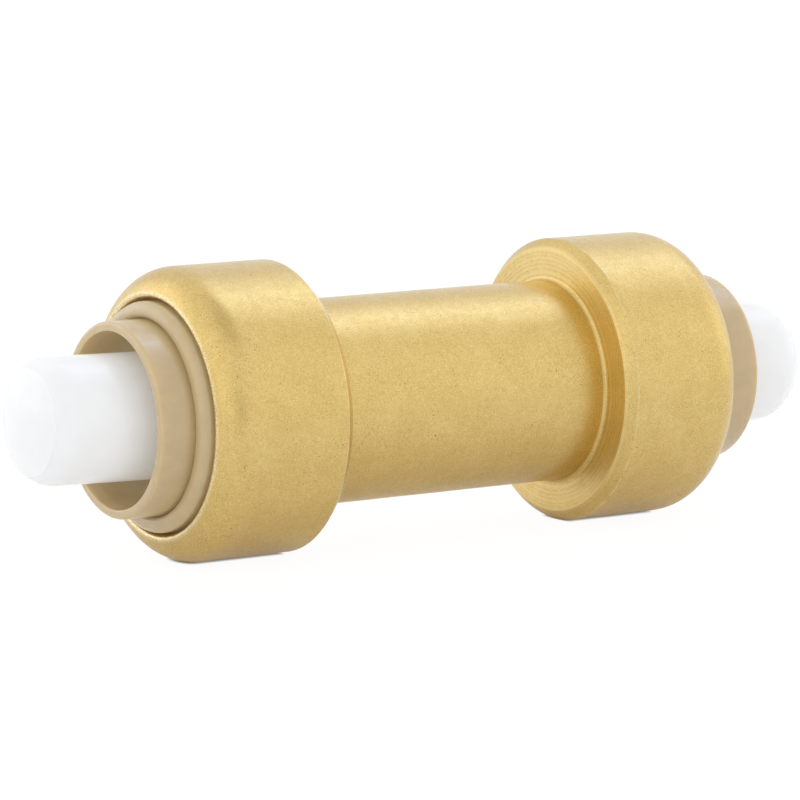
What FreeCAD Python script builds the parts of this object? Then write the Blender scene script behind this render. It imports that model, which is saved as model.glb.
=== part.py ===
"""Push-fit slip coupling for 1/2 in copper-tube-size pipe, with its two shipping plugs in place.

Row frame, in millimetres: X runs along the tube axis, the origin is the middle of the coupling on that
axis, and Z is up as the coupling lies on its two bulbs. The two ends are mirror images, so every piece of
an end is designed once at the right end (+X) and mirrored in the YZ plane for the left end. At rest the right
release collar stands out against its stop, and the left one lies against the teeth, COLLAR_PLAY further in. The
left plug, which only the teeth hold, leans a little upwards.

Nearly every piece is turned about X. Its half section is a list of corners (s, r, fillet): s is the distance
from the middle along the axis, r the distance from the axis, and fillet the radius that rounds the corner.
"""
import FreeCAD, Part
import math
import os

from FreeCAD import Vector

# ---- what the coupling is made for ------------------------------------------------------------------
TUBE_RADIUS = 15.875 / 2          # 1/2 in copper-tube size: 5/8 in outside diameter
BORE_RADIUS = 8.1                 # the bore lets the tube slide right through: there is no tube stop

# ---- gaps and small edges, the same everywhere ---------------------------------------------------------
STACK_GAP = 0.05                  # between pieces that are held still on each other
RUNNING_GAP = 0.1                 # between pieces that slide on each other
EDGE = 0.15
SOFT_EDGE = 0.3

# ---- brass body --------------------------------------------------------------------------------------
BARREL_RADIUS = 9.9
BARREL_FILLET = 0.45
BULB_RADIUS = 14.0
BULB_FACE = 15.6                  # s of the flat face of a bulb, on the barrel side
BULB_CHAMFER = 0.95
BULB_WALL = 1.4
SHOULDER_START = 26.3             # s at which the rolled shoulder leaves the bulb's cylinder
SHOULDER_RADIUS = 3.5
SHOULDER_TURN = math.radians(70)  # how far the brass is rolled in over the cartridge
LIP_EDGE = 0.35
SEAL_SHOULDER = 17.6              # s of the step that the seal rests on
SEAL_SEAT_RADIUS = 10.45
CHAMBER_STEP = 21.6               # s where the seal seat opens into the cartridge chamber
CHAMBER_RADIUS = BULB_RADIUS - BULB_WALL

# ---- O-ring ------------------------------------------------------------------------------------------
SEAL_INNER_RADIUS = 7.95          # the size it takes round a tube
SEAL_SECTION_RADIUS = 1.24

# ---- seal protector ----------------------------------------------------------------------------------
PROTECTOR_NOSE = 20.4
PROTECTOR_NOSE_RADIUS = 10.3
PROTECTOR_BORE = 8.25
PROTECTOR_FLOOR = 20.95           # s of the flat that the teeth may not pass
PROTECTOR_FLOOR_RADIUS = 9.5
PROTECTOR_MOUTH_RADIUS = 10.55
PROTECTOR_RIM = 23.45

# ---- grab ring ---------------------------------------------------------------------------------------
GRAB_BACK = PROTECTOR_RIM + STACK_GAP
GRAB_THICKNESS = 0.5
GRAB_BEND = 0.5                   # inner radius of the bend at a tooth's root
GRAB_OUTER_RADIUS = 12.45
TOOTH_ROOT_RADIUS = 10.3
TOOTH_TIP_RADIUS = 7.62
TOOTH_ANGLE = math.radians(35)    # how far a tooth leans towards the middle of the coupling
TOOTH_COUNT = 12
TOOTH_GAP = 0.8

# ---- retainer ----------------------------------------------------------------------------------------
RETAINER_BACK = GRAB_BACK + GRAB_THICKNESS + STACK_GAP
RETAINER_FRONT = 30.6
POCKET_RADIUS = 10.6              # of the room that the collar's hooks slide in
POCKET_END = 27.75                # the stop that the hooks meet when the collar is right out
BEAD_RADIUS = 10.95
BEAD_ROUND = 1.0
BEAD_INNER_ROUND = 0.45

# ---- release collar ----------------------------------------------------------------------------------
COLLAR_RADIUS = 9.3
COLLAR_BORE = 8.2
COLLAR_FRONT = 34.0               # with the nose close to the teeth
COLLAR_PLAY = 0.7                 # how far the collar slides out from there to its stop
COLLAR_FRONT_EDGE = 0.35
MOUTH_FLARE = 0.35                # how much wider the collar's mouth is than its bore
MOUTH_FLARE_LENGTH = 1.2
MOUTH_FLARE_ROUND = 2.0
NOSE_RADIUS = 9.05
NOSE_GAP = 0.2                    # along the axis, between the collar's nose and the teeth
HOOK_RADIUS = 10.4
HOOK_BACK = 25.3
HOOK_BACK_EDGE = 0.4
HOOK_FRONT = POCKET_END - COLLAR_PLAY - RUNNING_GAP
FINGER_COUNT = 4
FINGER_SLOT_WIDTH = 1.2
FINGER_SLOT_END = 29.0

# ---- shipping plug -----------------------------------------------------------------------------------
PLUG_WALL = 1.0
SKIRT_RADIUS = 7.5
SKIRT_BACK = 18.6
SKIRT_FRONT = 25.8
STEM_RADIUS = 6.02
STEM_BACK = 28.0
STEM_FRONT = 40.45                # s where the rounded edge of the closed end begins
STEM_ROUND = 3.1
NOSE_CONE = math.radians(60)      # slope that the rounded edge would run on to without the dome
DOME_TIP = 43.9
DOME_RADIUS = 12.2
LEFT_PLUG_LEAN = 1.5              # degrees that the left plug's tip is raised by

AXIS = Vector(1, 0, 0)
SIDEWAYS = Vector(0, 1, 0)
CENTRE = Vector(0, 0, 0)
OVERCUT = 1.0
SLIVER = 1e-6


# ---- half sections -----------------------------------------------------------------------------------
def point(s, r):
    return Vector(s, 0, r)


def round_corner(before, corner, after, radius):
    """Start, middle and end of the arc that rounds a corner."""
    back = (before - corner).normalize()
    ahead = (after - corner).normalize()
    half_angle = back.getAngle(ahead) / 2
    reach = radius / math.tan(half_angle)
    to_centre = (back + ahead).normalize()
    middle = corner + to_centre * (radius / math.sin(half_angle) - radius)
    return corner + back * reach, middle, corner + ahead * reach


def outline(corners):
    """Closed wire through corners (s, r, fillet), each rounded by its fillet radius."""
    points = [point(s, r) for s, r, _ in corners]
    stops = []
    for i, (_, _, radius) in enumerate(corners):
        if radius:
            stops.append(round_corner(points[i - 1], points[i], points[(i + 1) % len(points)], radius))
        else:
            stops.append((points[i], None, points[i]))
    edges = []
    for i, (_, _, start) in enumerate(stops):
        following = (i + 1) % len(stops)
        line_end, middle, arc_end = stops[following]
        straight = (line_end - start).dot((points[following] - points[i]).normalize())
        assert straight > -SLIVER, "the fillets of corners %d and %d overlap" % (i, following)
        if straight > SLIVER:
            edges.append(Part.LineSegment(start, line_end).toShape())
        if middle:
            edges.append(Part.Arc(line_end, middle, arc_end).toShape())
    return Part.Wire(edges)


def turned(wire):
    """The solid swept by a half section all the way round the axis."""
    return Part.Face(wire).revolve(CENTRE, AXIS, 360)


def mirrored(corners):
    """The same corners at the other end of the coupling, in the order that keeps one outline closed."""
    return [(-s, r, fillet) for s, r, fillet in reversed(corners)]


def around_axis(shape, count):
    """Copies of a shape, evenly spaced about the axis."""
    copies = []
    for i in range(count):
        copy = shape.copy()
        copy.rotate(CENTRE, AXIS, 360 * i / count)
        copies.append(copy)
    return copies


# ---- pieces of the coupling --------------------------------------------------------------------------
def shoulder_corner(inside):
    """s where the bulb's cylinder and the slope of the rolled shoulder would meet, this far inside the brass."""
    return SHOULDER_START + (SHOULDER_RADIUS - inside) * math.tan(SHOULDER_TURN / 2)


def shoulder_end(inside, past):
    """Point (s, r) straight past the end of the rolled shoulder's arc, this far inside the brass."""
    radius = SHOULDER_RADIUS - inside
    s = SHOULDER_START + radius * math.sin(SHOULDER_TURN) + past * math.cos(SHOULDER_TURN)
    r = BULB_RADIUS - SHOULDER_RADIUS + radius * math.cos(SHOULDER_TURN) - past * math.sin(SHOULDER_TURN)
    return s, r


def brass_body():
    """Barrel and two bulbs in one piece: seal seat, cartridge chamber and rolled-in mouth at each end."""
    end = [
        (BULB_FACE, BARREL_RADIUS, BARREL_FILLET),
        (BULB_FACE, BULB_RADIUS - BULB_CHAMFER, 0),
        (BULB_FACE + BULB_CHAMFER, BULB_RADIUS, 0),
        (shoulder_corner(0), BULB_RADIUS, SHOULDER_RADIUS),
        (*shoulder_end(0, LIP_EDGE), LIP_EDGE),
        (*shoulder_end(BULB_WALL, LIP_EDGE), LIP_EDGE),
        (shoulder_corner(BULB_WALL), CHAMBER_RADIUS, SHOULDER_RADIUS - BULB_WALL),
        (CHAMBER_STEP, CHAMBER_RADIUS, EDGE),
        (CHAMBER_STEP, SEAL_SEAT_RADIUS, SOFT_EDGE),
        (SEAL_SHOULDER, SEAL_SEAT_RADIUS, EDGE),
        (SEAL_SHOULDER, BORE_RADIUS, SOFT_EDGE),
    ]
    return turned(outline(end + mirrored(end)))


def o_ring():
    """Seal, drawn at the size it takes round a tube."""
    centre_s = SEAL_SHOULDER + STACK_GAP + SEAL_SECTION_RADIUS
    centre_r = SEAL_INNER_RADIUS + SEAL_SECTION_RADIUS
    return Part.makeTorus(centre_r, SEAL_SECTION_RADIUS, Vector(centre_s, 0, 0), AXIS)


def seal_protector():
    """Ring that backs up the seal and keeps the grab ring's teeth off it."""
    return turned(outline([
        (PROTECTOR_NOSE, PROTECTOR_BORE, EDGE),
        (PROTECTOR_NOSE, PROTECTOR_NOSE_RADIUS, EDGE),
        (CHAMBER_STEP + STACK_GAP, PROTECTOR_NOSE_RADIUS, 0),
        (CHAMBER_STEP + STACK_GAP, CHAMBER_RADIUS - STACK_GAP, SOFT_EDGE),
        (PROTECTOR_RIM, CHAMBER_RADIUS - STACK_GAP, EDGE),
        (PROTECTOR_RIM, PROTECTOR_MOUTH_RADIUS, EDGE),
        (PROTECTOR_FLOOR, PROTECTOR_FLOOR_RADIUS, SOFT_EDGE),
        (PROTECTOR_FLOOR, PROTECTOR_BORE, EDGE),
    ]))


def tooth_s(r, above):
    """s of a tooth's section at radius r, this far above the tooth's middle line."""
    root_s = GRAB_BACK + GRAB_THICKNESS / 2
    return root_s - (TOOTH_ROOT_RADIUS - r) * math.tan(TOOTH_ANGLE) + above / math.cos(TOOTH_ANGLE)


def grab_ring():
    """Stamped spring ring: a flat rim and a crown of teeth that lean towards the middle of the coupling."""
    half = GRAB_THICKNESS / 2
    front = GRAB_BACK + GRAB_THICKNESS
    root_shift = half * math.tan(TOOTH_ANGLE / 2)
    tip_back = tooth_s(TOOTH_TIP_RADIUS, -half)
    ring = turned(outline([
        (GRAB_BACK, GRAB_OUTER_RADIUS, EDGE),
        (GRAB_BACK, TOOTH_ROOT_RADIUS + root_shift, GRAB_BEND),
        (tip_back, TOOTH_TIP_RADIUS, 0),
        (tooth_s(TOOTH_TIP_RADIUS, half), TOOTH_TIP_RADIUS, 0),
        (front, TOOTH_ROOT_RADIUS - root_shift, GRAB_BEND + GRAB_THICKNESS),
        (front, GRAB_OUTER_RADIUS, EDGE),
    ]))
    length = front - tip_back + 2 * OVERCUT
    corner = Vector(tip_back - OVERCUT, -TOOTH_GAP / 2, 0)
    slot = Part.makeBox(length, TOOTH_GAP, TOOTH_ROOT_RADIUS, corner)
    slot_root = Part.makeCylinder(TOOTH_GAP / 2, length, Vector(tip_back - OVERCUT, 0, TOOTH_ROOT_RADIUS), AXIS)
    return ring.cut(around_axis(slot.fuse(slot_root), TOOTH_COUNT))


def retainer():
    """Cartridge ring that the brass mouth is rolled over; it holds the grab ring in and guides the collar."""
    inside = BULB_WALL + STACK_GAP
    neck_s, neck_r = shoulder_end(inside, LIP_EDGE + STACK_GAP)
    bead_s = neck_s + (BEAD_RADIUS - neck_r) * math.tan(SHOULDER_TURN)
    return turned(outline([
        (RETAINER_BACK, BULB_RADIUS - inside, EDGE),
        (shoulder_corner(inside), BULB_RADIUS - inside, SHOULDER_RADIUS - inside),
        (neck_s, neck_r, EDGE),
        (bead_s, BEAD_RADIUS, 0),
        (RETAINER_FRONT, BEAD_RADIUS, BEAD_ROUND),
        (RETAINER_FRONT, COLLAR_RADIUS + RUNNING_GAP, BEAD_INNER_ROUND),
        (POCKET_END, COLLAR_RADIUS + RUNNING_GAP, 0),
        (POCKET_END, POCKET_RADIUS, 0),
        (RETAINER_BACK, POCKET_RADIUS, EDGE),
    ]))


def nose_s(r):
    """s of the collar's sloping nose at radius r: it lies parallel to the teeth."""
    return tooth_s(r, GRAB_THICKNESS / 2) + NOSE_GAP


def release_collar():
    """Sliding collar: its nose opens the teeth when it is pushed in, and its snap fingers keep it captive."""
    collar = turned(outline([
        (nose_s(COLLAR_BORE), COLLAR_BORE, EDGE),
        (nose_s(NOSE_RADIUS), NOSE_RADIUS, EDGE),
        (HOOK_BACK, NOSE_RADIUS, 0),
        (HOOK_BACK, HOOK_RADIUS, HOOK_BACK_EDGE),
        (HOOK_FRONT, HOOK_RADIUS, EDGE),
        (HOOK_FRONT, COLLAR_RADIUS, 0),
        (COLLAR_FRONT, COLLAR_RADIUS, COLLAR_FRONT_EDGE),
        (COLLAR_FRONT, COLLAR_BORE + MOUTH_FLARE, EDGE),
        (COLLAR_FRONT - MOUTH_FLARE_LENGTH, COLLAR_BORE, MOUTH_FLARE_ROUND),
    ]))
    slot_back = nose_s(COLLAR_BORE) - OVERCUT
    corner = Vector(slot_back, -FINGER_SLOT_WIDTH / 2, 0)
    slot = Part.makeBox(FINGER_SLOT_END - slot_back, FINGER_SLOT_WIDTH, HOOK_RADIUS + OVERCUT, corner)
    slot_end = Part.makeCylinder(FINGER_SLOT_WIDTH / 2, HOOK_RADIUS + OVERCUT, Vector(FINGER_SLOT_END, 0, 0))
    return collar.cut(around_axis(slot.fuse(slot_end), FINGER_COUNT))


def plug_form(inset, back):
    """The plug's outside as a full solid that starts at s = back, with its side and nose moved in by inset."""
    slope = math.atan2(SKIRT_RADIUS - STEM_RADIUS, STEM_BACK - SKIRT_FRONT)
    shift = inset * math.tan(slope / 2)
    stem_radius = STEM_RADIUS - inset
    round_radius = STEM_ROUND - inset
    nose_corner = STEM_FRONT + round_radius * math.tan(NOSE_CONE / 2)
    nose_tip = nose_corner + stem_radius / math.tan(NOSE_CONE)
    blank = turned(outline([
        (back, 0, 0),
        (back, SKIRT_RADIUS - inset, EDGE),
        (SKIRT_FRONT - shift, SKIRT_RADIUS - inset, SOFT_EDGE),
        (STEM_BACK - shift, stem_radius, SOFT_EDGE),
        (nose_corner, stem_radius, round_radius),
        (nose_tip, 0, 0),
    ]))
    nose = Part.makeCylinder(STEM_RADIUS, nose_tip - STEM_FRONT, Vector(STEM_FRONT, 0, 0), AXIS)
    dome = Part.makeSphere(DOME_RADIUS - inset, Vector(DOME_TIP - DOME_RADIUS, 0, 0))
    return blank.cut(nose.cut(dome))


def end_plug():
    """Hollow shipping plug: closed domed stem outside, wider open skirt inside."""
    return plug_form(0, SKIRT_BACK).cut(plug_form(PLUG_WALL, SKIRT_BACK - OVERCUT))


END_PIECES = {
    "o_ring": o_ring,
    "seal_protector": seal_protector,
    "grab_ring": grab_ring,
    "retainer": retainer,
    "release_collar": release_collar,
    "end_plug": end_plug,
}


def build():
    """Every node of the coupling, by name."""
    nodes = {"brass_body": brass_body()}
    for name, make in END_PIECES.items():
        piece = make()
        nodes["right_" + name] = piece
        nodes["left_" + name] = piece.mirror(CENTRE, AXIS)
    nodes["right_release_collar"].translate(AXIS * COLLAR_PLAY)
    teeth = Vector(-tooth_s(TOOTH_TIP_RADIUS, 0), 0, 0)
    nodes["left_end_plug"].rotate(teeth, SIDEWAYS, LEFT_PLUG_LEAN)
    return nodes


def single_solid(shape):
    """The one solid that a shape holds."""
    assert shape.isValid() and len(shape.Solids) == 1
    return shape.Solids[0]


os.makedirs("parts", exist_ok=True)
for node, shape in build().items():
    single_solid(shape).exportStep("parts/" + node + ".step")
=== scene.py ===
"""Looks of the push-fit slip coupling, with its two shipping plugs in place.

Metres, in the row frame: X runs along the tube axis, Z is up, and the origin is the middle of the coupling.
Outlines are in millimetres, as corners (s, r, fillet): s is the distance from the middle along the axis, r
the distance from the axis, and fillet the radius that rounds the corner. Every end piece is turned about X
from one outline at the right end, and mirrored for the left end. At rest the right collar stands out against
its stop, and the left plug leans a little upwards.
"""

import math

import bmesh
import bpy
from mathutils import Matrix, Vector, noise


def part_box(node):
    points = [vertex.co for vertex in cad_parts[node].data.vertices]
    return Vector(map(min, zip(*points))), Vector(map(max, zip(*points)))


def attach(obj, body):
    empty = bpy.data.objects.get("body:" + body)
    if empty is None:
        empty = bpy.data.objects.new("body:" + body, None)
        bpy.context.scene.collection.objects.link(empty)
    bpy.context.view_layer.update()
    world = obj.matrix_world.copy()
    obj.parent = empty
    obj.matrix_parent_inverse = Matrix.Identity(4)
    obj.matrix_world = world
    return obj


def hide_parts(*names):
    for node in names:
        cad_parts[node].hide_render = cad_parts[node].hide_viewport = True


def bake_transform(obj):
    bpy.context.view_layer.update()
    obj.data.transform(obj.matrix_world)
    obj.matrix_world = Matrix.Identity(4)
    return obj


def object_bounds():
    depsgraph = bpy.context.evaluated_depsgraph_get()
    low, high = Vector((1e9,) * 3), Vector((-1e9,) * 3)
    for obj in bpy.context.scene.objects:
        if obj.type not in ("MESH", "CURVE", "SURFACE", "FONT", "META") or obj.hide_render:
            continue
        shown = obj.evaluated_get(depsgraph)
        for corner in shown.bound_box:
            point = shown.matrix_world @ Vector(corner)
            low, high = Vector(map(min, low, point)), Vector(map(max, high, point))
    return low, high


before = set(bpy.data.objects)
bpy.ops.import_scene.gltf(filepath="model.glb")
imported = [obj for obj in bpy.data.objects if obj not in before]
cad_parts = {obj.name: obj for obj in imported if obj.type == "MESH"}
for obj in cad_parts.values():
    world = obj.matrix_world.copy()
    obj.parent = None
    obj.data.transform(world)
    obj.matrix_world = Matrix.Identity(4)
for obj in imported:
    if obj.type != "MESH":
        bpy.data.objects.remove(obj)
cad_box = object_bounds()

MM = 0.001
ENDS = {"right": 1, "left": -1}


def near_end(node):
    """Inner end, outer end and outer radius of a right-hand node, in millimetres."""
    low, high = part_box(node)
    return low.x / MM, high.x / MM, high.z / MM


# ---- sizes taken from the frame, in millimetres ------------------------------------------------------
_, _, BULB_RADIUS = near_end("brass_body")
_, RETAINER_FRONT, _ = near_end("right_retainer")
COLLAR_FRONT = -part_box("left_release_collar")[0].x / MM
COLLAR_PLAY = near_end("right_release_collar")[1] - COLLAR_FRONT
PLUG_BACK, PLUG_TIP, _ = near_end("right_end_plug")
PROTECTOR_NOSE, PROTECTOR_RIM, PROTECTOR_RADIUS = near_end("right_seal_protector")
SEAL_BACK, SEAL_FRONT, SEAL_RADIUS = near_end("right_o_ring")
_, GRAB_FRONT, GRAB_RADIUS = near_end("right_grab_ring")
FLOOR_HEIGHT = cad_box[0].z

# ---- sizes that the frame's boxes don't show, in millimetres -------------------------------------------
BORE_RADIUS = 8.1
BARREL_RADIUS = 9.9
BARREL_FILLET = 0.45
BULB_FACE = 15.6
BULB_CHAMFER = 0.95
BULB_EDGE = 0.06
BULB_WALL = 1.4
BODY_WAVE = 0.012
LIP_WAVE = 0.03
LIP_WAVE_RUN = 1.5
SHOULDER_START = 26.3
SHOULDER_RADIUS = 3.5
SHOULDER_TURN = math.radians(70)
LIP_EDGE = 0.35
SEAL_SHOULDER = 17.6
SEAL_SEAT_RADIUS = 10.45
CHAMBER_STEP = 21.6
CHAMBER_RADIUS = BULB_RADIUS - BULB_WALL
STACK_GAP = 0.05
RUNNING_GAP = 0.1

PROTECTOR_NOSE_RADIUS = 10.3
PROTECTOR_BORE = 8.25
PROTECTOR_FLOOR = 20.95
PROTECTOR_FLOOR_RADIUS = 9.5
PROTECTOR_MOUTH_RADIUS = 10.55
PROTECTOR_LEAD_IN = 0.3

GRAB_THICKNESS = 0.5
TOOTH_ROOT_RADIUS = 10.3
TOOTH_TIP_RADIUS = 7.62
TOOTH_ANGLE = math.radians(35)
TOOTH_COUNT = 12
TOOTH_GAP = 0.8
TEETH_DIP = 0.15
TEETH_DIP_REACH = 0.3
TEETH_EDGE = 0.05

POCKET_RADIUS = 10.6
POCKET_END = 27.75
BEAD_RADIUS = 10.95
BEAD_ROUND = 1.0
BEAD_INNER_ROUND = 0.45

COLLAR_RADIUS = 9.3
COLLAR_BORE = 8.2
COLLAR_FRONT_EDGE = 0.35
MOUTH_FLARE = 0.22
MOUTH_FLARE_LENGTH = 1.2
MOUTH_FLARE_ROUND = 2.0
NOSE_RADIUS = 9.05
NOSE_GAP = 0.2
HOOK_RADIUS = 10.4
HOOK_EDGE = 0.4
HOOK_BACK = 25.3
FINGER_COUNT = 4
FINGER_SLOT_WIDTH = 1.2
FINGER_SLOT_END = 29.0

PLUG_WALL = 1.0
SKIRT_RADIUS = 7.5
SKIRT_FRONT = 25.8
STEM_RADIUS = 6.02
STEM_BACK = 28.0
STEM_FRONT = 40.45
STEM_ROUND = 3.1
NOSE_CONE = math.radians(60)
DOME_RADIUS = 12.2
DOME_STEPS = 16
LEFT_PLUG_LEAN = math.radians(1.5)

SMALL_EDGE = 0.15
SOFT_EDGE = 0.3

# ---- how finely the pieces are made --------------------------------------------------------------------
SEGMENTS = 240
ARC_STEP = math.radians(7)
ARC_RUN = 0.06
RUN_STEP = 0.7
SHARP_ANGLE = math.radians(40)


# ---- outlines ------------------------------------------------------------------------------------------
def arc(before, corner, after, radius):
    """Points of the arc that rounds a corner."""
    back = (before - corner).normalized()
    ahead = (after - corner).normalized()
    half_angle = back.angle(ahead) / 2
    centre = corner + (back + ahead).normalized() * radius / math.sin(half_angle)
    spoke = corner + back * radius / math.tan(half_angle) - centre
    turn = math.copysign(math.pi - 2 * half_angle, -back.cross(ahead))
    steps = max(3, math.ceil(abs(turn) * min(1 / ARC_STEP, radius / ARC_RUN)))
    return [centre + Matrix.Rotation(turn * i / steps, 2) @ spoke for i in range(steps + 1)]


def divided(points, closed):
    """The same line with more points along its long straight runs."""
    ends = zip(points, points[1:] + points[:1] if closed else points[1:])
    line = []
    for start, end in ends:
        steps = max(1, math.ceil((end - start).length / RUN_STEP))
        line += [start.lerp(end, i / steps) for i in range(steps)]
    return line if closed else line + points[-1:]


def outline(corners, closed=True):
    """Points (s, r) along corners (s, r, fillet), each rounded by its fillet."""
    places = [Vector((s, r)) for s, r, _ in corners]
    points = []
    for i, (_, _, fillet) in enumerate(corners):
        if fillet:
            points += arc(places[i - 1], places[i], places[(i + 1) % len(places)], fillet)
        else:
            points.append(places[i])
    return divided(points, closed)


def mirrored(corners):
    """The same corners at the other end of the coupling, in the order that keeps one outline closed."""
    return [(-s, r, fillet) for s, r, fillet in reversed(corners)]


# ---- meshes --------------------------------------------------------------------------------------------
def finished(name, mesh_maker):
    """A shaded object from a bmesh in millimetres."""
    bmesh.ops.remove_doubles(mesh_maker, verts=mesh_maker.verts, dist=1e-5)
    bmesh.ops.recalc_face_normals(mesh_maker, faces=mesh_maker.faces)
    mesh = bpy.data.meshes.new(name)
    mesh_maker.to_mesh(mesh)
    mesh_maker.free()
    mesh.transform(Matrix.Scale(MM, 4))
    mesh.shade_smooth()
    mesh.set_sharp_from_angle(angle=SHARP_ANGLE)
    piece = bpy.data.objects.new(name, mesh)
    bpy.context.scene.collection.objects.link(piece)
    return piece


def lathe(name, line, side=1, closed=True, form=None):
    """A piece turned about X from points (s, r). form(s, r, angle) may move a point of the surface."""
    maker = bmesh.new()
    rings = []
    for s, r in line:
        ring = []
        for i in range(SEGMENTS):
            angle = 2 * math.pi * i / SEGMENTS
            ring_s, ring_r = form(s, r, angle) if form else (s, r)
            place = (side * ring_s, ring_r * math.cos(angle), ring_r * math.sin(angle))
            ring.append(maker.verts.new(place))
        rings.append(ring)
    following = rings[1:] + rings[:1] if closed else rings[1:]
    for ring, after in zip(rings, following):
        for i in range(SEGMENTS):
            j = (i + 1) % SEGMENTS
            maker.faces.new((ring[i], ring[j], after[j], after[i]))
    return finished(name, maker)


def applied(piece):
    """The piece with its modifiers made part of its mesh."""
    shaped = bpy.data.meshes.new_from_object(piece.evaluated_get(bpy.context.evaluated_depsgraph_get()))
    shaped.shade_smooth()
    shaped.set_sharp_from_angle(angle=SHARP_ANGLE)
    piece.modifiers.clear()
    piece.data = shaped
    return piece


# ---- brass body ------------------------------------------------------------------------------------------
def shoulder_corner(inside):
    """s where the bulb's cylinder and the rolled shoulder's slope would meet, this far inside the brass."""
    return SHOULDER_START + (SHOULDER_RADIUS - inside) * math.tan(SHOULDER_TURN / 2)


def shoulder_end(inside, past):
    """Point (s, r) straight past the end of the rolled shoulder's arc, this far inside the brass."""
    radius = SHOULDER_RADIUS - inside
    s = SHOULDER_START + radius * math.sin(SHOULDER_TURN) + past * math.cos(SHOULDER_TURN)
    r = BULB_RADIUS - SHOULDER_RADIUS + radius * math.cos(SHOULDER_TURN) - past * math.sin(SHOULDER_TURN)
    return s, r


def face_grooves():
    """Fine turning grooves on the flat face of a bulb, as corners from its barrel to its chamfer."""
    inner = BARREL_RADIUS + BARREL_FILLET + 0.25
    outer = BULB_RADIUS - BULB_CHAMFER - 0.2
    pitch = 0.16
    depth = 0.0015
    grooves = []
    for i in range(int((outer - inner) / pitch)):
        uneven = 0.5 + noise.noise(Vector((i * 0.37, 0, 0)))
        grooves.append((BULB_FACE + (i % 2) * depth * uneven, inner + i * pitch, 0))
    return grooves


def brass_form(s, r, angle):
    """The small unevenness of tumbled brass and of its rolled-in mouths."""
    place = Vector((s, r * math.cos(angle), r * math.sin(angle)))
    if r < BARREL_RADIUS - 0.5:
        return s, r
    wave = BODY_WAVE * noise.noise(place * 0.3)
    lip = max(0, min(1, (abs(s) - SHOULDER_START - LIP_WAVE_RUN) / LIP_WAVE_RUN))
    wave += lip * LIP_WAVE * noise.noise(place * 1.1)
    return s, r + wave


def brass_body():
    end = [(BULB_FACE, BARREL_RADIUS, BARREL_FILLET)]
    end += face_grooves()
    end += [
        (BULB_FACE, BULB_RADIUS - BULB_CHAMFER, BULB_EDGE),
        (BULB_FACE + BULB_CHAMFER, BULB_RADIUS, BULB_EDGE),
        (shoulder_corner(0), BULB_RADIUS, SHOULDER_RADIUS),
        (*shoulder_end(0, LIP_EDGE), LIP_EDGE),
        (*shoulder_end(BULB_WALL, LIP_EDGE), LIP_EDGE),
        (shoulder_corner(BULB_WALL), CHAMBER_RADIUS, SHOULDER_RADIUS - BULB_WALL),
        (CHAMBER_STEP, CHAMBER_RADIUS, SMALL_EDGE),
        (CHAMBER_STEP, SEAL_SEAT_RADIUS, SOFT_EDGE),
        (SEAL_SHOULDER, SEAL_SEAT_RADIUS, SMALL_EDGE),
        (SEAL_SHOULDER, BORE_RADIUS, SOFT_EDGE),
    ]
    return lathe("brass_body_finish", outline(end + mirrored(end)), form=brass_form)


# ---- seal and its protector ------------------------------------------------------------------------------
def o_ring(name, side):
    """Seal with the faint flash line of its mould round the outside."""
    section = (SEAL_FRONT - SEAL_BACK) / 2
    centre_s = (SEAL_FRONT + SEAL_BACK) / 2
    centre_r = SEAL_RADIUS - section
    flash = 0.02
    steps = 48
    line = []
    for i in range(steps):
        angle = 2 * math.pi * i / steps
        radius = section + (flash if i % (steps // 2) == 0 else 0)
        s = centre_s + radius * math.sin(angle)
        r = centre_r + (radius - flash) * math.cos(angle)
        line.append(Vector((s, r)))
    return lathe(name, line, side)


def seal_protector(name, side):
    rim = PROTECTOR_RADIUS
    return lathe(name, outline([
        (PROTECTOR_NOSE, PROTECTOR_BORE, SMALL_EDGE),
        (PROTECTOR_NOSE, PROTECTOR_NOSE_RADIUS, SMALL_EDGE),
        (CHAMBER_STEP + STACK_GAP, PROTECTOR_NOSE_RADIUS, 0),
        (CHAMBER_STEP + STACK_GAP, rim, SOFT_EDGE),
        (PROTECTOR_RIM, rim, SMALL_EDGE),
        (PROTECTOR_RIM, PROTECTOR_MOUTH_RADIUS, SOFT_EDGE),
        (PROTECTOR_FLOOR, PROTECTOR_FLOOR_RADIUS, SOFT_EDGE),
        (PROTECTOR_FLOOR, PROTECTOR_BORE + PROTECTOR_LEAD_IN, 0),
        (PROTECTOR_FLOOR - PROTECTOR_LEAD_IN, PROTECTOR_BORE, 0),
    ]), side)


# ---- grab ring -------------------------------------------------------------------------------------------
def tooth_s(r, above):
    """s of a tooth's section at radius r, this far above the tooth's middle line."""
    root_s = GRAB_FRONT - GRAB_THICKNESS / 2
    return root_s - (TOOTH_ROOT_RADIUS - r) * math.tan(TOOTH_ANGLE) + above / math.cos(TOOTH_ANGLE)


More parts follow.
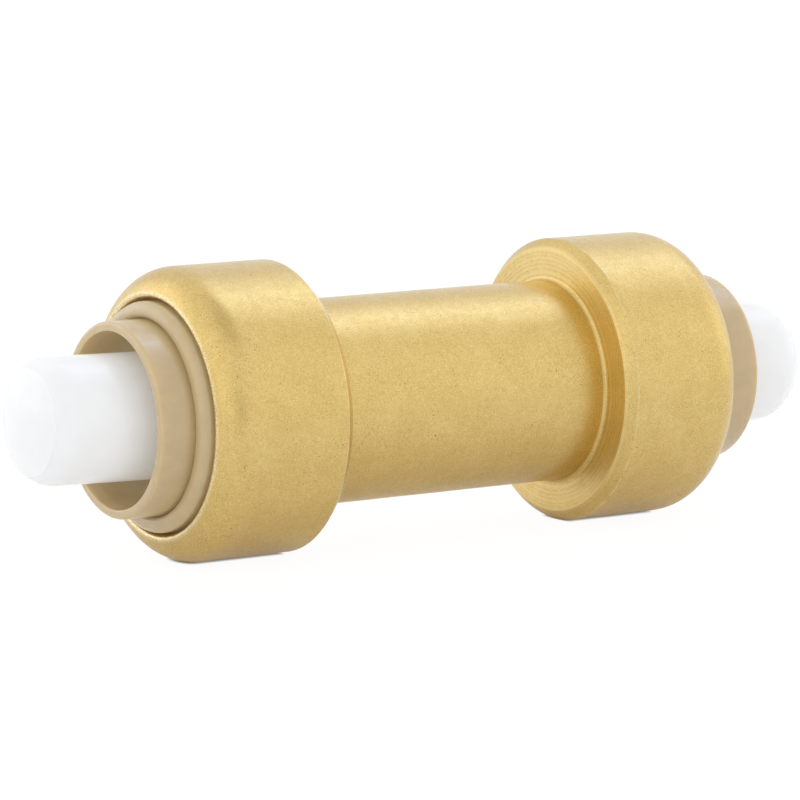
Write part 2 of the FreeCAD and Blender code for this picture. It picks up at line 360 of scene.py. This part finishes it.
def grab_ring(name, side):
    """Stamped spring ring: a flat rim and a crown of teeth, made as a sheet and then given its thickness."""
    across = 10
    slot_steps = 4
    tooth_rows = 14
    rim_rows = 5
    narrowest = 0.04
    slot_end = TOOTH_ROOT_RADIUS + TOOTH_GAP / 2
    reach = slot_end - TOOTH_TIP_RADIUS
    radii = [TOOTH_TIP_RADIUS + reach * i / tooth_rows for i in range(tooth_rows + 1)]
    radii += [slot_end + (GRAB_RADIUS - slot_end) * i / rim_rows for i in range(1, rim_rows + 1)]
    maker = bmesh.new()
    rows = []
    for r in radii:
        bend = min(0, r - TOOTH_ROOT_RADIUS)
        dip = TEETH_DIP * math.exp(-abs(r - TOOTH_ROOT_RADIUS) / TEETH_DIP_REACH)
        s = GRAB_FRONT - GRAB_THICKNESS / 2 + (bend - dip) * math.tan(TOOTH_ANGLE)
        rounding = max(0, 1 - (slot_end - r) / (TOOTH_GAP / 2))
        half_gap = TOOTH_GAP / 2 * math.sqrt(max(narrowest, 1 - rounding ** 2))
        if r > slot_end:
            half_gap = TOOTH_GAP / 10
        gap_angle = 2 * math.asin(half_gap / r)
        row = []
        for tooth in range(TOOTH_COUNT):
            middle = 2 * math.pi * tooth / TOOTH_COUNT
            tooth_angle = 2 * math.pi / TOOTH_COUNT - gap_angle
            angles = [middle - tooth_angle / 2 + tooth_angle * i / across for i in range(across + 1)]
            angles += [middle + tooth_angle / 2 + gap_angle * i / slot_steps for i in range(1, slot_steps)]
            for angle in angles:
                row.append(maker.verts.new((side * s, r * math.cos(angle), r * math.sin(angle))))
        rows.append(row)
    columns = across + slot_steps
    for k in range(len(rows) - 1):
        for i in range(len(rows[k])):
            if i % columns >= across and radii[k + 1] <= slot_end:
                continue
            j = (i + 1) % len(rows[k])
            maker.faces.new((rows[k][i], rows[k][j], rows[k + 1][j], rows[k + 1][i]))
    ring = finished(name, maker)
    thickness = ring.modifiers.new("thickness", "SOLIDIFY")
    thickness.thickness = GRAB_THICKNESS * MM
    thickness.offset = 0
    thickness.use_even_offset = True
    edges = ring.modifiers.new("edges", "BEVEL")
    edges.width = TEETH_EDGE * MM
    edges.segments = 2
    edges.limit_method = "ANGLE"
    edges.angle_limit = math.radians(50)
    return applied(ring)


# ---- retainer --------------------------------------------------------------------------------------------
def retainer(name, side):
    inside = BULB_WALL + STACK_GAP
    neck_s, neck_r = shoulder_end(inside, LIP_EDGE + STACK_GAP)
    bead_s = neck_s + (BEAD_RADIUS - neck_r) * math.tan(SHOULDER_TURN)
    back = GRAB_FRONT + STACK_GAP
    return lathe(name, outline([
        (back, BULB_RADIUS - inside, SMALL_EDGE),
        (shoulder_corner(inside), BULB_RADIUS - inside, SHOULDER_RADIUS - inside),
        (neck_s, neck_r, SMALL_EDGE),
        (bead_s, BEAD_RADIUS, SMALL_EDGE),
        (RETAINER_FRONT, BEAD_RADIUS, BEAD_ROUND),
        (RETAINER_FRONT, COLLAR_RADIUS + RUNNING_GAP, BEAD_INNER_ROUND),
        (POCKET_END, COLLAR_RADIUS + RUNNING_GAP, 0),
        (POCKET_END, POCKET_RADIUS, 0),
        (back, POCKET_RADIUS, SMALL_EDGE),
    ]), side)


# ---- release collar --------------------------------------------------------------------------------------
def nose_s(r):
    """s of the collar's sloping nose at radius r: it lies parallel to the teeth."""
    return tooth_s(r, GRAB_THICKNESS / 2) + NOSE_GAP


def slot_cutter(angle, side):
    """A bar with a rounded front edge across the axis, which cuts two opposite finger slots."""
    half = FINGER_SLOT_WIDTH / 2
    back = nose_s(COLLAR_BORE) - 1
    front = [math.radians(-90 + 15 * i) for i in range(13)]
    section = [(back, half), (back, -half)]
    section += [(FINGER_SLOT_END + half * math.cos(turn), half * math.sin(turn)) for turn in front]
    reach = 1.5 * HOOK_RADIUS
    maker = bmesh.new()
    low = [maker.verts.new((side * s, y, -reach)) for s, y in section]
    high = [maker.verts.new((side * s, y, reach)) for s, y in section]
    maker.faces.new(low)
    maker.faces.new(high)
    for i in range(len(section)):
        maker.faces.new((low[i - 1], low[i], high[i], high[i - 1]))
    bmesh.ops.rotate(maker, cent=(0, 0, 0), matrix=Matrix.Rotation(angle, 3, "X"), verts=maker.verts)
    return finished("slot_cutter", maker)


def release_collar(name, side):
    """Sliding collar with a sloping nose, snap hooks and finger slots. The right one stands further out."""
    hook_front = POCKET_END - COLLAR_PLAY - RUNNING_GAP
    collar = lathe(name, outline([
        (nose_s(COLLAR_BORE), COLLAR_BORE, SMALL_EDGE),
        (nose_s(NOSE_RADIUS), NOSE_RADIUS, SMALL_EDGE),
        (HOOK_BACK, NOSE_RADIUS, 0),
        (HOOK_BACK, HOOK_RADIUS, HOOK_EDGE),
        (hook_front, HOOK_RADIUS, SMALL_EDGE),
        (hook_front, COLLAR_RADIUS, 0),
        (COLLAR_FRONT, COLLAR_RADIUS, COLLAR_FRONT_EDGE),
        (COLLAR_FRONT, COLLAR_BORE + MOUTH_FLARE, SMALL_EDGE),
        (COLLAR_FRONT - MOUTH_FLARE_LENGTH, COLLAR_BORE, MOUTH_FLARE_ROUND),
    ]), side)
    cutters = [slot_cutter(2 * math.pi * i / FINGER_COUNT, side) for i in range(FINGER_COUNT // 2)]
    for cutter in cutters:
        cut = collar.modifiers.new("slot", "BOOLEAN")
        cut.operation = "DIFFERENCE"
        cut.solver = "EXACT"
        cut.object = cutter
    bpy.context.view_layer.update()
    applied(collar)
    for cutter in cutters:
        bpy.data.objects.remove(cutter)
    if side > 0:
        collar.data.transform(Matrix.Translation((COLLAR_PLAY * MM, 0, 0)))
    return collar


# ---- shipping plug ---------------------------------------------------------------------------------------
def dome_line(radius, rim_radius):
    """Points of the plug's shallow dome from its rim to its tip."""
    centre = PLUG_TIP - DOME_RADIUS
    rim_angle = math.asin(rim_radius / radius)
    angles = [rim_angle * (1 - i / DOME_STEPS) for i in range(DOME_STEPS + 1)]
    return [Vector((centre + radius * math.cos(angle), radius * math.sin(angle))) for angle in angles]


def plug_line(inset, back):
    """Half section of the plug's skin from its open back to its tip, moved in by inset."""
    slope = math.atan2(SKIRT_RADIUS - STEM_RADIUS, STEM_BACK - SKIRT_FRONT)
    shift = inset * math.tan(slope / 2)
    stem_radius = STEM_RADIUS - inset
    round_radius = STEM_ROUND - inset
    nose_corner = STEM_FRONT + round_radius * math.tan(NOSE_CONE / 2)
    side_line = outline([
        (back, SKIRT_RADIUS - inset, 0),
        (SKIRT_FRONT - shift, SKIRT_RADIUS - inset, SOFT_EDGE),
        (STEM_BACK - shift, stem_radius, SOFT_EDGE),
        (nose_corner, stem_radius, round_radius),
        (nose_corner + stem_radius / math.tan(NOSE_CONE), 0, 0),
    ], closed=False)
    dome = DOME_RADIUS - inset
    centre = PLUG_TIP - DOME_RADIUS
    outside_dome = [p for p in side_line if math.hypot(p.x - centre, p.y) < dome or p.x < STEM_FRONT]
    rim = outside_dome[-1].y
    return outside_dome + dome_line(dome, min(rim, stem_radius))


def end_plug(name, side):
    """Hollow plug: closed domed stem outside, wider open skirt inside. The left one leans in the teeth."""
    skin = plug_line(0, PLUG_BACK + SMALL_EDGE)
    hollow = plug_line(PLUG_WALL, PLUG_BACK + SMALL_EDGE)
    plug = lathe(name, list(reversed(hollow)) + skin, side, closed=False)
    if side < 0:
        teeth = Matrix.Translation((-tooth_s(TOOTH_TIP_RADIUS, 0) * MM, 0, 0))
        plug.data.transform(teeth @ Matrix.Rotation(LEFT_PLUG_LEAN, 4, "Y") @ teeth.inverted())
    return plug


# ---- materials -------------------------------------------------------------------------------------------
class Finish:
    """One procedural material, with short calls that add and join its nodes. Patterns are per millimetre."""

    def __init__(self, name):
        self.material = bpy.data.materials.new(name)
        self.material.use_nodes = True
        self.tree = self.material.node_tree
        self.shader = self.tree.nodes["Principled BSDF"]
        place = self.add("ShaderNodeTexCoord").outputs["Object"]
        self.place = self.vector("SCALE", place, scale=1 / MM)
        parts = self.add("ShaderNodeSeparateXYZ", {0: self.place})
        self.along = self.number("ABSOLUTE", parts.outputs["X"])
        flat = self.add("ShaderNodeCombineXYZ", {"Y": parts.outputs["Y"], "Z": parts.outputs["Z"]})
        from_axis = self.add("ShaderNodeVectorMath", {0: flat.outputs[0]}, operation="LENGTH")
        self.radius = from_axis.outputs["Value"]
        self.height = parts.outputs["Z"]

    def add(self, kind, inputs=None, **settings):
        """A node with settings, and inputs joined or set by name or number."""
        node = self.tree.nodes.new(kind)
        for name, value in settings.items():
            setattr(node, name, value)
        for name, value in (inputs or {}).items():
            if isinstance(value, bpy.types.NodeSocket):
                self.tree.links.new(value, node.inputs[name])
            else:
                node.inputs[name].default_value = value
        return node

    def vector(self, operation, first, second=None, scale=None):
        inputs = {0: first}
        if second is not None:
            inputs[1] = second
        if scale is not None:
            inputs["Scale"] = scale
        return self.add("ShaderNodeVectorMath", inputs, operation=operation).outputs[0]

    def number(self, operation, first, second=None):
        inputs = {0: first}
        if second is not None:
            inputs[1] = second
        return self.add("ShaderNodeMath", inputs, operation=operation).outputs[0]

    def noise(self, scale, detail=2, rough=0.5, place=None):
        inputs = {"Vector": place or self.place, "Scale": scale, "Detail": detail, "Roughness": rough}
        return self.add("ShaderNodeTexNoise", inputs).outputs["Fac"]

    def turned(self, scale, detail=2):
        """Noise that runs in rings round the tube axis, as turning tools leave it."""
        rings = self.add("ShaderNodeCombineXYZ", {"X": self.along, "Y": self.radius}).outputs[0]
        return self.noise(scale, detail, place=rings)

    def remap(self, value, low, high, new_low, new_high):
        """value from low..high to new_low..new_high, clamped, with soft ends."""
        inputs = {"Value": value, "From Min": low, "From Max": high, "To Min": new_low, "To Max": new_high}
        node = self.add("ShaderNodeMapRange", inputs, interpolation_type="SMOOTHSTEP")
        return node.outputs["Result"]

    def near_ring(self, s, r, width):
        """1 on the circle at (s, r), falling to 0 at width from it."""
        across = self.number("SUBTRACT", self.along, s)
        out = self.number("SUBTRACT", self.radius, r)
        offset = self.add("ShaderNodeCombineXYZ", {"X": across, "Y": out}).outputs[0]
        distance = self.add("ShaderNodeVectorMath", {0: offset}, operation="LENGTH").outputs["Value"]
        return self.remap(distance, 0.3 * width, width, 1, 0)

    def mix(self, share, first, second):
        """Colour first, turning to second as share goes from 0 to 1."""
        node = self.add("ShaderNodeMix", data_type="RGBA")
        for socket, value in zip((node.inputs[0], node.inputs[6], node.inputs[7]), (share, first, second)):
            if isinstance(value, bpy.types.NodeSocket):
                self.tree.links.new(value, socket)
            else:
                socket.default_value = value if isinstance(value, float) else (*value, 1)
        return node.outputs[2]

    def bump(self, height, strength, depth, under=None):
        """Surface relief: depth in millimetres at height 1, laid over another relief."""
        inputs = {"Height": height, "Strength": strength, "Distance": depth * MM}
        if under is not None:
            inputs["Normal"] = under
        return self.add("ShaderNodeBump", inputs).outputs["Normal"]

    def set(self, **values):
        """Shader inputs by name, with underscores for spaces."""
        for name, value in values.items():
            socket = self.shader.inputs[name.replace("_", " ")]
            if isinstance(value, bpy.types.NodeSocket):
                self.tree.links.new(value, socket)
            else:
                socket.default_value = value
        return self.material


def brass():
    """Tumbled brass: fine-grained satin with dark specks, ring marks on turned faces painted lighter as a
    painted sheen, rubbed edges lightened also as a painted edge highlight, and painted glints in the grain
    of the rolled lips.
    """
    f = Finish("tumbled_brass")
    cloud = f.noise(0.28, 3)
    mottle = f.noise(1.3, 4, 0.6)
    grain = f.noise(8.5, 2, 0.7)
    patches = f.remap(f.noise(0.45, 3), 0.5, 0.68, 0.15, 1)
    specks = f.number("MULTIPLY", f.remap(f.noise(5.5, 1), 0.64, 0.71, 0, 0.65), patches)
    rings = f.turned(3.6, 3)
    on_face = f.number("MULTIPLY", f.remap(f.along, BULB_FACE + 0.25, BULB_FACE + 0.15, 0, 1),
                       f.remap(f.radius, BARREL_RADIUS + 0.2, BARREL_RADIUS + 0.5, 0, 1))
    lip = f.near_ring(*shoulder_end(0, LIP_EDGE), 0.75)
    colour = f.mix(f.remap(cloud, 0.3, 0.7, 0, 1), (0.692, 0.494, 0.155), (0.745, 0.538, 0.187))
    colour = f.mix(f.remap(mottle, 0.35, 0.65, 0, 0.3), colour, (0.610, 0.420, 0.126))
    colour = f.mix(f.remap(grain, 0.32, 0.50, 0.42, 0), colour, (0.450, 0.288, 0.081))
    colour = f.mix(f.remap(grain, 0.50, 0.68, 0, 0.45), colour, (0.880, 0.725, 0.375))
    colour = f.mix(specks, colour, (0.205, 0.125, 0.045))
    # turning rings on the bulb faces, painted lighter: part turning marks, part a painted sheen of the
    # turned face
    ring_marks_and_sheen = f.number("MULTIPLY", on_face, f.remap(rings, 0.32, 0.68, 0, 0.45))
    colour = f.mix(ring_marks_and_sheen, colour, (0.930, 0.720, 0.330))
    edge = f.near_ring(BULB_FACE + BULB_CHAMFER, BULB_RADIUS, 0.16)
    # bulb edge lightened: part rubbed wear, part a painted edge highlight
    wear_and_edge_highlight = f.number("MULTIPLY", edge, f.remap(f.noise(0.7, 4), 0.35, 0.7, 0.05, 0.45))
    colour = f.mix(wear_and_edge_highlight, colour, (0.880, 0.760, 0.480))
    crumbs = f.noise(6.5, 3, 0.75)
    # light crumbs on the rolled lip: part grain, part painted glints of the lip's bright rim
    lip_grain_and_glints = f.number("MULTIPLY", lip, f.remap(crumbs, 0.42, 0.58, 0.1, 0.9))
    colour = f.mix(lip_grain_and_glints, colour, (0.960, 0.850, 0.580))
    dark_crumbs = f.number("MULTIPLY", lip, f.remap(crumbs, 0.32, 0.42, 0.5, 0))
    colour = f.mix(dark_crumbs, colour, (0.400, 0.260, 0.090))
    rough = f.remap(mottle, 0.3, 0.7, 0.28, 0.36)
    relief = f.bump(grain, 0.6, 0.012)
    relief = f.bump(f.number("MULTIPLY", rings, f.number("MAXIMUM", on_face, 0.2)), 0.25, 0.03, relief)
    relief = f.bump(f.number("MULTIPLY", crumbs, lip), 0.7, 0.03, relief)
    across_rings = f.add("ShaderNodeTangent", direction_type="RADIAL", axis="X").outputs[0]
    return f.set(Base_Color=colour, Metallic=1.0, Roughness=rough, Normal=relief,
                 Anisotropic=f.number("MULTIPLY", on_face, 0.8), Anisotropic_Rotation=0.25,
                 Tangent=across_rings, Coat_Weight=0.35, Coat_Roughness=0.25, Coat_IOR=1.6)


# painted glow: emission strength that stands in for room light reaching shaded parts of the plastic; the
# plastic glows though it is no lamp
PAINTED_GLOW = 0.12


def tan_plastic():
    """Moulded acetal: even tan, glossy, a little translucent, with flow marks and a few rubs, and a painted
    glow that is weaker towards the bottom.
    """
    f = Finish("tan_acetal")
    cloud = f.noise(0.5, 3)
    flow = f.noise(1.0, 3, place=f.vector("MULTIPLY", f.place, (0.4, 1.6, 1.6)))
    rubs = f.remap(f.noise(1.3, 4, 0.7, f.vector("MULTIPLY", f.place, (2.2, 0.8, 0.8))), 0.62, 0.74, 0, 0.3)
    colour = f.mix(f.remap(cloud, 0.3, 0.7, 0, 1), (0.470, 0.356, 0.182), (0.502, 0.384, 0.199))
    colour = f.mix(f.remap(flow, 0.4, 0.7, 0, 0.2), colour, (0.443, 0.331, 0.168))
    colour = f.mix(rubs, colour, (0.620, 0.520, 0.340))
    rough = f.remap(f.noise(2.5, 3), 0.3, 0.7, 0.2, 0.27)
    relief = f.bump(f.noise(1.2, 2), 0.15, 0.02)
    # painted glow, weaker towards the bottom: painted light, not light passing the wall
    painted_glow = f.remap(f.height, -COLLAR_RADIUS, 0, 0.7 * PAINTED_GLOW, PAINTED_GLOW)
    return f.set(Base_Color=colour, Roughness=rough, Specular_IOR_Level=0.7, Normal=relief,
                 Coat_Weight=0.5, Coat_Roughness=0.1, Coat_IOR=1.65,
                 Subsurface_Weight=0.7, Subsurface_Radius=(1.0, 0.75, 0.45), Subsurface_Scale=2.0 * MM,
                 Emission_Color=(0.56, 0.45, 0.26, 1), Emission_Strength=painted_glow)


def white_plastic():
    """Moulded polyethylene: milky white, soft gloss, a little translucent, with an even painted glow."""
    f = Finish("white_polyethylene")
    cloud = f.noise(0.35, 3)
    streaks = f.noise(1.2, 3, 0.7, f.vector("MULTIPLY", f.place, (0.5, 3.5, 3.5)))
    scratches = f.remap(streaks, 0.66, 0.74, 0, 0.5)
    colour = f.mix(f.remap(cloud, 0.3, 0.7, 0, 1), (0.775, 0.778, 0.782), (0.798, 0.800, 0.804))
    colour = f.mix(f.number("MULTIPLY", scratches, 0.2), colour, (0.720, 0.725, 0.735))
    rough = f.remap(scratches, 0, 0.5, 0.20, 0.34)
    relief = f.bump(f.noise(0.8, 2), 0.2, 0.03)
    relief = f.bump(f.noise(6, 2), 0.2, 0.004, relief)
    # the emission is an even painted glow
    return f.set(Base_Color=colour, Roughness=rough, Normal=relief, IOR=1.51,
                 Subsurface_Weight=0.45, Subsurface_Radius=(1.0, 1.0, 1.0), Subsurface_Scale=1.6 * MM,
                 Emission_Color=(0.97, 0.99, 1.0, 1), Emission_Strength=PAINTED_GLOW)


def seal_rubber():
    """Black rubber with a film of silicone grease."""
    f = Finish("greased_rubber")
    grain = f.noise(7, 3)
    film = f.noise(0.9, 3)
    colour = f.mix(f.remap(grain, 0.3, 0.7, 0, 1), (0.012, 0.012, 0.013), (0.028, 0.028, 0.030))
    rough = f.remap(film, 0.35, 0.65, 0.28, 0.55)
    relief = f.bump(grain, 0.4, 0.01)
    return f.set(Base_Color=colour, Roughness=rough, Normal=relief)


def protector_plastic():
    """Natural acetal, slightly yellow."""
    f = Finish("natural_acetal")
    cloud = f.noise(0.7, 3)
    grain = f.noise(8, 2)
    colour = f.mix(f.remap(cloud, 0.3, 0.7, 0, 1), (0.560, 0.515, 0.400), (0.640, 0.600, 0.480))
    rough = f.remap(grain, 0.3, 0.7, 0.38, 0.5)
    relief = f.bump(grain, 0.3, 0.005)
    return f.set(Base_Color=colour, Roughness=rough, Normal=relief,
                 Subsurface_Weight=0.15, Subsurface_Radius=(1.0, 0.9, 0.7), Subsurface_Scale=0.6 * MM)


def spring_steel():
    """Stamped stainless strip with fine rolling lines."""
    f = Finish("stamped_stainless")
    lines = f.noise(3, 3, 0.6, f.vector("MULTIPLY", f.place, (4.0, 0.35, 6.0)))
    cloud = f.noise(0.6, 2)
    colour = f.mix(f.remap(lines, 0.3, 0.7, 0, 1), (0.470, 0.460, 0.440), (0.620, 0.610, 0.590))
    colour = f.mix(f.remap(cloud, 0.45, 0.7, 0, 0.4), colour, (0.500, 0.470, 0.410))
    rough = f.remap(lines, 0.3, 0.7, 0.2, 0.34)
    relief = f.bump(lines, 0.3, 0.006)
    return f.set(Base_Color=colour, Metallic=1.0, Roughness=rough, Normal=relief)


# ---- putting the pieces in place -----------------------------------------------------------------------
def place_piece(piece, node, body, material):
    """Gives a piece its material, the CAD node it stands for and the body it moves with."""
    piece.data.materials.clear()
    piece.data.materials.append(material)
    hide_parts(node)
    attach(piece, body)


def place_coupling():
    materials = {
        "brass": brass(),
        "tan_plastic": tan_plastic(),
        "white_plastic": white_plastic(),
        "seal_rubber": seal_rubber(),
        "protector_plastic": protector_plastic(),
        "spring_steel": spring_steel(),
    }
    place_piece(brass_body(), "brass_body", "housing", materials["brass"])
    held = (
        ("o_ring", o_ring, "seal_rubber"),
        ("seal_protector", seal_protector, "protector_plastic"),
        ("retainer", retainer, "tan_plastic"),
    )
    for end, side in ENDS.items():
        for part, make, slot in held:
            node = end + "_" + part
            place_piece(make(node + "_finish", side), node, "housing", materials[slot])
        collar = end + "_release_collar"
        place_piece(release_collar(collar + "_finish", side), collar, end + "_collar",
                    materials["tan_plastic"])
        plug = end + "_end_plug"
        place_piece(end_plug(plug + "_finish", side), plug, end + "_plug",
                    materials["white_plastic"])
        place_grab_ring(end, side, materials["spring_steel"])


def place_grab_ring(end, side, material):
    """Grab ring with its material, fixed where it is made, in place of its CAD node."""
    node = end + "_grab_ring"
    ring = grab_ring(node + "_finish", side)
    ring.data.materials.append(material)
    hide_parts(node)
    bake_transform(ring)


# ---- studio --------------------------------------------------------------------------------------------
CAMERA_LENS = 209.07
CAMERA_AZIMUTH = math.radians(-33.07)
CAMERA_ELEVATION = math.radians(8.38)
CAMERA_DISTANCE = 450.9 * MM
CAMERA_TARGET = Vector((-1.90, 0, -0.62)) * MM
FLOOR_SIZE = 8.0
TABLE_DROP = 0.02 * MM
TABLE_BRIGHTNESS = 1.05
TABLE_GLOW = 0.9
TABLE_SPILL = 0.22
CONTACT_REACH = 0.25 * MM


def camera():
    data = bpy.data.cameras.new("camera")
    data.lens = CAMERA_LENS
    data.sensor_width = 36
    data.clip_start = 0.01
    data.clip_end = 20
    camera_object = bpy.data.objects.new("camera", data)
    level = math.cos(CAMERA_ELEVATION)
    aside = math.sin(CAMERA_AZIMUTH) * level
    ahead = -math.cos(CAMERA_AZIMUTH) * level
    back = Vector((aside, ahead, math.sin(CAMERA_ELEVATION)))
    camera_object.location = CAMERA_TARGET + back * CAMERA_DISTANCE
    camera_object.rotation_euler = (-back).to_track_quat("-Z", "Y").to_euler()
    bpy.context.scene.collection.objects.link(camera_object)
    bpy.context.scene.camera = camera_object


def floor():
    maker = bmesh.new()
    bmesh.ops.create_grid(maker, x_segments=8, y_segments=8, size=FLOOR_SIZE / 2 / MM)
    piece = finished("floor", maker)
    piece.location.z = FLOOR_HEIGHT - TABLE_DROP
    piece.data.materials.append(lit_table())


def lit_table():
    """Matt white table, lit from below except where the coupling touches it. The camera sees nearly all of
    the glow, and the coupling a part of it.
    """
    f = Finish("white_table")
    f.set(Base_Color=(0.90, 0.90, 0.90, 1), Roughness=0.6)
    seen = f.add("ShaderNodeLightPath").outputs["Is Camera Ray"]
    glow = f.add("ShaderNodeEmission", {"Color": (1, 1, 1, 1), "Strength": TABLE_BRIGHTNESS}).outputs[0]
    nearness = f.add("ShaderNodeAmbientOcclusion", {"Distance": CONTACT_REACH}).outputs["AO"]
    share = f.number("MULTIPLY", f.remap(seen, 0, 1, TABLE_SPILL, TABLE_GLOW), nearness)
    blend = f.add("ShaderNodeMixShader", {0: share, 1: f.shader.outputs[0], 2: glow})
    output = f.tree.nodes["Material Output"]
    f.tree.links.new(blend.outputs[0], output.inputs["Surface"])
    return f.material


def direction(azimuth, elevation):
    """Unit vector towards an azimuth, 0 at the front (-Y) and growing towards +X, and an elevation."""
    azimuth, elevation = math.radians(azimuth), math.radians(elevation)
    level = math.cos(elevation)
    return Vector((math.sin(azimuth) * level, -math.cos(azimuth) * level, math.sin(elevation)))


ROOM_LIGHT = 1.0
DAYLIGHT = Vector((0.80, 1.00, 1.55))
WHITE = Vector((1, 1, 1))
SOFTBOXES = (
    # azimuth, elevation, angle where it starts to fade, angle where it ends, brightness over the room
    (112, 57, 3, 24, 0.50 * DAYLIGHT),
    (112, 57, 1, 5, 0.9 * DAYLIGHT),
    (-145, 14, 10, 36, 0.40 * WHITE),
    (72, 15, 10, 36, 0.26 * WHITE),
    (-80, 18, 10, 36, 0.18 * WHITE),
    (5, 78, 6, 30, -0.28 * WHITE),
    (-25, 4, 5, 22, -0.28 * WHITE),
    (165, 30, 10, 34, -0.13 * WHITE),
)


def room():
    """White studio walls with large softboxes, and with a dim ceiling and a dim corner near the camera."""
    world = bpy.data.worlds.new("studio")
    world.use_nodes = True
    tree = world.node_tree
    towards = tree.nodes.new("ShaderNodeTexCoord").outputs["Generated"]
    total = None
    for azimuth, elevation, inner, outer, brightness in SOFTBOXES:
        facing = tree.nodes.new("ShaderNodeVectorMath")
        facing.operation = "DOT_PRODUCT"
        facing.inputs[1].default_value = direction(azimuth, elevation)
        tree.links.new(towards, facing.inputs[0])
        fade = tree.nodes.new("ShaderNodeMapRange")
        fade.interpolation_type = "SMOOTHSTEP"
        fade.inputs["From Min"].default_value = math.cos(math.radians(outer))
        fade.inputs["From Max"].default_value = math.cos(math.radians(inner))
        tree.links.new(facing.outputs["Value"], fade.inputs["Value"])
        add = tree.nodes.new("ShaderNodeVectorMath")
        add.operation = "MULTIPLY_ADD"
        tree.links.new(fade.outputs["Result"], add.inputs[0])
        add.inputs[1].default_value = brightness
        if total:
            tree.links.new(total, add.inputs[2])
        else:
            add.inputs[2].default_value = ROOM_LIGHT * WHITE
        total = add.outputs[0]
    tree.links.new(total, tree.nodes["Background"].inputs["Color"])
    bpy.context.scene.world = world


def studio():
    camera()
    floor()
    room()
    bpy.context.scene.view_settings.view_transform = "Standard"


studio()
place_coupling()
